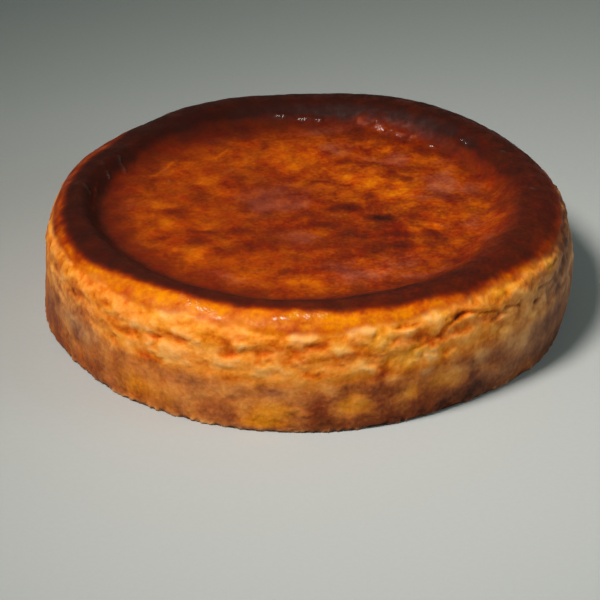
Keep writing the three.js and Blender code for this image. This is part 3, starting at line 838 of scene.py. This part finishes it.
# How light the side is, from 0 in its darkest hollows to 1 on its palest plates.
side_tone = 0.60 + added_up(
    (0.02, torn_band),
    (-0.08, low_side),
    # Darker towards the foot: painted shade, where little light reaches under the cake.
    (-0.08, shaded_foot),
    (-0.08, left_side),
    (-0.10, right_side),
    (-0.14, low_side * front_right),
    (0.04, low_right),
    # Painted shadow under the right shoulder.
    (-0.10, shaded_under_right_shoulder),
    (-0.10, right_lip),
    # Raised lumps and plates are lighter, partly their own colour and partly painted highlight.
    (0.10, wide_patches * (1 - 0.5 * right_side)),
    (0.13, narrow_patches * grain),
    (0.06, knobbles * grain),
    (0.05, streaks),
    (0.30, np.minimum(pale_and_lit, 0.9)),
    (-0.24, brown_and_shade),
    (-0.15, rust),
    # Cracks are darker: painted shade.
    (-0.30, cracks),
    (0.45, at_foot * smoothstep(0.0, 0.5, crumbs)))

# How red each place is, against gold on the side and amber on the top.
side_redness = 0.54 + added_up((-0.25, right_side), (-0.45, gold), (0.55, rust), (0.15, brown_and_shade),
                               (0.15, streaks))
top_redness = 0.52 + added_up((0.25, blisters), (0.25, drift[:, 1]))
redness = mix(side_redness, top_redness, on_top)

# How far the side's gold and rust are dulled to tan.
dullness = added_up((0.45, low_side), (0.5, at_foot), (0.75, dull_and_shade), (-0.5, gold), (-0.12, torn_band))

# How much the material's blotches and flecks show: most over the sunken middle, the amber shoulder
# and the right of the top, and least over the left of the rim and the right of the side.
in_middle = smoothstep(dark_inside + 4, red_inside - 2, radius)
unevenness = mix(mix(0.60, 0.66, torn_band), mix(0.50, 1.0, in_middle), on_top)
unevenness += added_up(
    (0.4, smoothstep(-35, 45, x) * on_top),
    (0.50, smoothstep(dark_outside - 2, dark_outside + 3, radius) * on_top * outside),
    (-0.25, right_side * on_side))

layers = {"browned": browned, "haze": haze, "top_skin": on_top, "side_tone": side_tone,
          "redness": redness, "dullness": dullness, "unevenness": unevenness, "wet": wet}
for layer_name, values in layers.items():
    attribute = cake_mesh.attributes.new(layer_name, "FLOAT", "POINT")
    attribute.data.foreach_set("value", values.astype(np.float32))


def baked_custard():
    """Baked egg and cheese custard: light soaks a little way in, red farthest, and it gleams only
    faintly, apart from the small wet glints."""
    material, tree, shader = new_material(
        "baked_custard", IOR=CUSTARD_IOR, Specular_IOR_Level=CUSTARD_SHINE,
        Coat_Roughness=GLAZE_ROUGHNESS, Subsurface_Weight=SOAK_SHARE,
        Subsurface_Radius=SOAK_REACH, Subsurface_Scale=SOAK_DEPTH * MM)
    place = add(tree, "ShaderNodeTexCoord").outputs["Object"]
    layer = {name: add(tree, "ShaderNodeAttribute", attribute_name=name).outputs["Fac"]
             for name in layers}
    skin = {name: add(tree, "ShaderNodeMapRange", {"Value": layer["top_skin"], "To Min": side,
                                                   "To Max": top}).outputs["Result"]
            for name, (side, top) in SIDE_AND_TOP.items()}

    # Blotches with flecks between them. Each of the three channels of a noise varies by itself: the
    # first moves the tone, the second the hue, and the third the top's bloom and the side's dullness.
    noises = [add(tree, "ShaderNodeTexNoise", {"Vector": place, "Scale": 1 / (size * MM),
                                               "Detail": detail, "Roughness": roughness}).outputs["Color"]
              for size, detail, roughness in ((BLOTCH_SIZE, 2.5, 0.45), (FLECK_SIZE, 2.0, 0.5))]
    blotches, flecks = [add(tree, "ShaderNodeVectorMath", {0: colour, 1: (0.5, 0.5, 0.5)},
                            operation="SUBTRACT").outputs[0] for colour in noises]
    mottle = add(tree, "ShaderNodeVectorMath", {0: flecks, 1: skin["fleckiness"], 2: blotches},
                 operation="MULTIPLY_ADD").outputs[0]
    mottle = add(tree, "ShaderNodeVectorMath", {0: mottle, "Scale": layer["unevenness"]},
                 operation="SCALE").outputs[0]
    tone, hue, bloom = add(tree, "ShaderNodeSeparateXYZ", {0: mottle}).outputs
    redder = add(tree, "ShaderNodeMath", {0: hue, 1: HUE_ON_BOTH, 2: layer["redness"]},
                 operation="MULTIPLY_ADD", use_clamp=True).outputs[0]

    # The top, browned a little unevenly, with a pinkish bloom where the skin dried, whose pink also
    # paints the sheen inside the rim at the back right. A Mix node's colours are its inputs 6 and 7 and
    # its output 2.
    level = add(tree, "ShaderNodeMath", {0: tone, 1: TONE_ON_TOP, 2: layer["browned"]},
                operation="MULTIPLY_ADD").outputs[0]
    amber, red, hazy = [add(tree, "ShaderNodeValToRGB", {"Fac": level}, stops=stops).outputs["Color"]
                        for stops in (AMBER_TOP, RED_TOP, HAZY_TOP)]
    dried = add(tree, "ShaderNodeMath", {0: bloom, 1: BLOOM_ON_TOP, 2: layer["haze"]},
                operation="MULTIPLY_ADD").outputs[0]
    dried = add(tree, "ShaderNodeMapRange", {"Value": dried, "From Min": BLOOM_SHOWS[0],
                                             "From Max": BLOOM_SHOWS[1], "To Max": BLOOM_AT_MOST},
                interpolation_type="SMOOTHSTEP").outputs["Result"]
    top = add(tree, "ShaderNodeMix", {"Factor": redder, 6: amber, 7: red}, data_type="RGBA").outputs[2]
    top = add(tree, "ShaderNodeMix", {"Factor": dried, 6: top, 7: hazy}, data_type="RGBA").outputs[2]

    # The side, from dark hollows to cream plates, golden or rusty where it caught the heat and
    # tan where it stood against paper. Its plates are lighter partly as painted highlight, and its
    # cracks, its foot and a patch under its right shoulder are darker as painted shade.
    level = add(tree, "ShaderNodeMath", {0: tone, 1: TONE_ON_SIDE, 2: layer["side_tone"]},
                operation="MULTIPLY_ADD").outputs[0]
    golden, rusty, tan = [add(tree, "ShaderNodeValToRGB", {"Fac": level}, stops=stops).outputs["Color"]
                          for stops in (GOLDEN_SIDE, RUSTY_SIDE, TAN_SIDE)]
    duller = add(tree, "ShaderNodeMath", {0: bloom, 1: DULLNESS_ON_SIDE, 2: layer["dullness"]},
                 operation="MULTIPLY_ADD", use_clamp=True).outputs[0]
    side = add(tree, "ShaderNodeMix", {"Factor": redder, 6: golden, 7: rusty},
               data_type="RGBA").outputs[2]
    side = add(tree, "ShaderNodeMix", {"Factor": duller, 6: side, 7: tan}, data_type="RGBA").outputs[2]
    colour = add(tree, "ShaderNodeMix", {"Factor": layer["top_skin"], 6: side, 7: top},
                 data_type="RGBA").outputs[2]
    tree.links.new(colour, shader.inputs["Base Color"])

    # The darker blotches of the top and the paler ones of the side are dry and rougher. Beads and
    # folds of skin are glazed, soonest where the pores rise.
    roughness = add(tree, "ShaderNodeMath", {0: tone, 1: ROUGHNESS_ON_BOTH, 2: skin["roughness"]},
                    operation="MULTIPLY_ADD").outputs[0]
    tree.links.new(roughness, shader.inputs["Roughness"])
    pores = add(tree, "ShaderNodeTexNoise", {"Vector": place, "Scale": 1 / (PORE_SIZE * MM),
                                             "Detail": 3.0}).outputs["Fac"]
    glaze = add(tree, "ShaderNodeMath", {0: pores, 1: layer["wet"]}, operation="ADD").outputs[0]
    glaze = add(tree, "ShaderNodeMapRange", {"Value": glaze, "From Min": GLAZE_SHOWS[0],
                                             "From Max": GLAZE_SHOWS[1]}).outputs["Result"]
    tree.links.new(glaze, shader.inputs["Coat Weight"])
    pore_strength = add(tree, "ShaderNodeMath", {0: layer["wet"], 1: PORES_WHERE_WET, 2: skin["pores"]},
                        operation="MULTIPLY_ADD").outputs[0]
    bumps = add(tree, "ShaderNodeBump", {"Height": pores, "Strength": pore_strength,
                                         "Distance": PORE_DEPTH * MM}).outputs["Normal"]
    bumps = add(tree, "ShaderNodeBump", {"Height": tone, "Strength": skin["blotches"],
                                         "Distance": BLOTCH_DEPTH * MM,
                                         "Normal": bumps}).outputs["Normal"]
    for socket in ("Normal", "Coat Normal"):
        tree.links.new(bumps, shader.inputs[socket])
    return material


cake_mesh.materials.append(baked_custard())
cake = bpy.data.objects.new("cake", cake_mesh)
bpy.context.scene.collection.objects.link(cake)
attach(cake, "root")
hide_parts("cheesecake")
